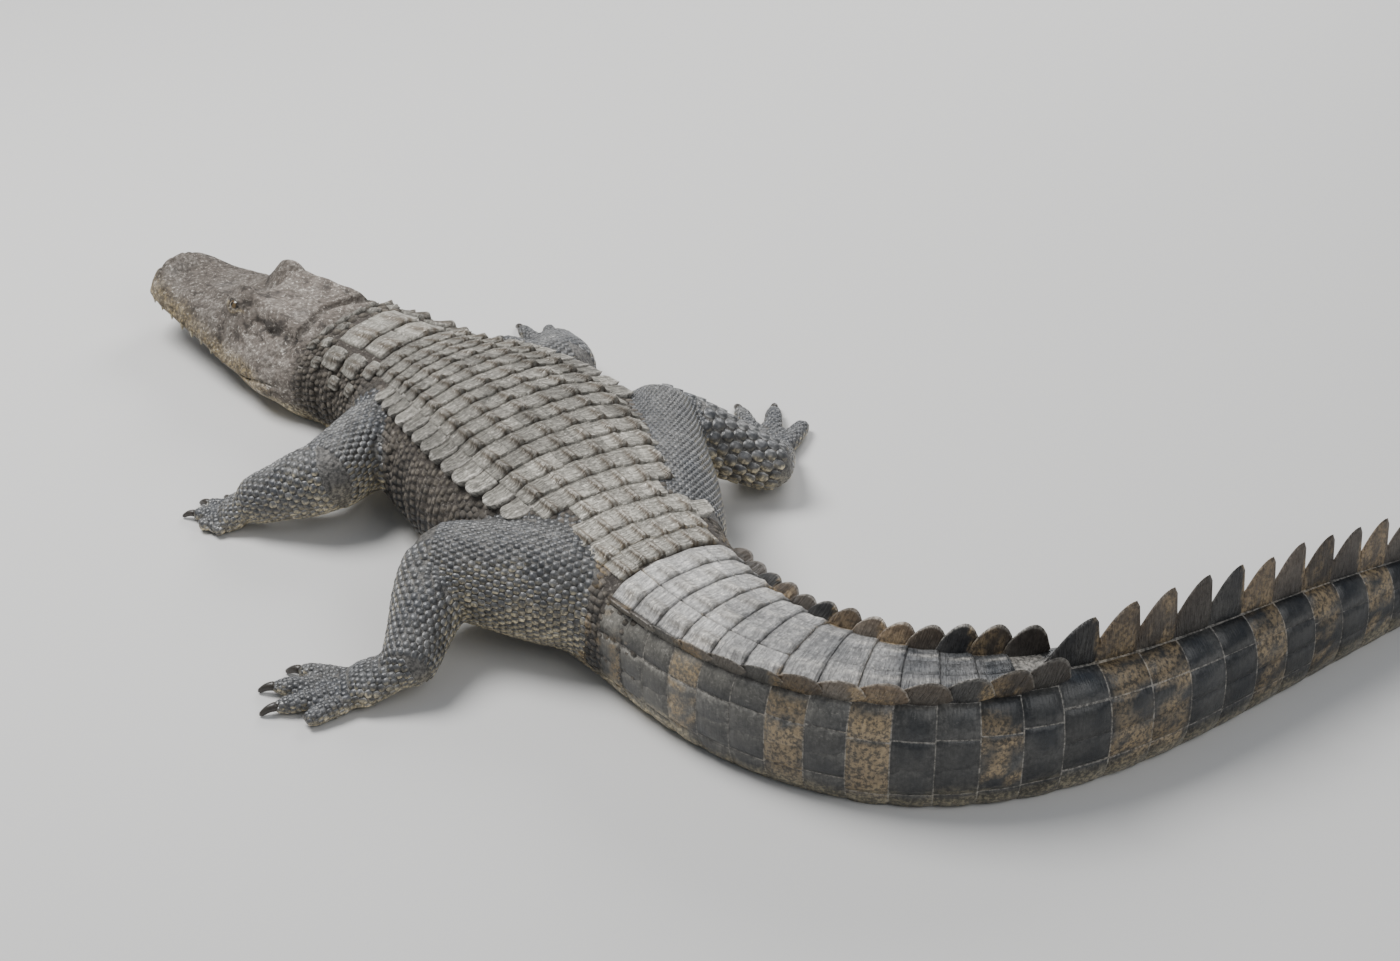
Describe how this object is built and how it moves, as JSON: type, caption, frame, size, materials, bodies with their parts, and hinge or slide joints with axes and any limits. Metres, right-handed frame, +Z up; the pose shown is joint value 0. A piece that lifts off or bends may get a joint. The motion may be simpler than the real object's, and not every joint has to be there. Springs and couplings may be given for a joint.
{
  "type": "american alligator, still life-size model",
  "caption": "Still life-size model of a young american alligator lying on the floor with its tail swept in a wide curve, its back armoured with keeled scutes and its tail crested.",
  "frame": {"origin": "on the floor, under the middle of the belly", "axes": "+X towards the tail, with the nose towards -X; +Y towards the animal's right side; +Z up"},
  "size_m": [1.5104, 0.9109, 0.1591],
  "materials": {
    "head_skin": "matte grey-brown rugose skin over bone, dusted with dried mud",
    "jaw_skin": "matte mottled yellow-grey scales",
    "eye": "wet gloss, brown iris with an upright slit",
    "neck_skin": "matte pebbly brown scales",
    "back_scutes": "matte grey-brown keeled scutes with dry pale rims",
    "tail_skin": "satin blue-black scales with tan bands and brown crest scutes",
    "limb_skin": "satin blue-grey scales with pale edges"
  },
  "bodies": {
    "root": {"head": "head_skin", "lower_jaw": "jaw_skin", "eye_left": "eye", "eye_right": "eye", "neck": "neck_skin", "torso": "back_scutes", "tail_1": "tail_skin", "tail_2": "tail_skin", "tail_3": "tail_skin", "tail_4": "tail_skin", "tail_5": "tail_skin", "upper_arm_left": "limb_skin", "upper_arm_right": "limb_skin", "forearm_left": "limb_skin", "forearm_right": "limb_skin", "hand_left": "limb_skin", "hand_right": "limb_skin", "thigh_left": "limb_skin", "thigh_right": "limb_skin", "shank_left": "limb_skin", "shank_right": "limb_skin", "foot_left": "limb_skin", "foot_right": "limb_skin"}
  },
  "joints": []
}
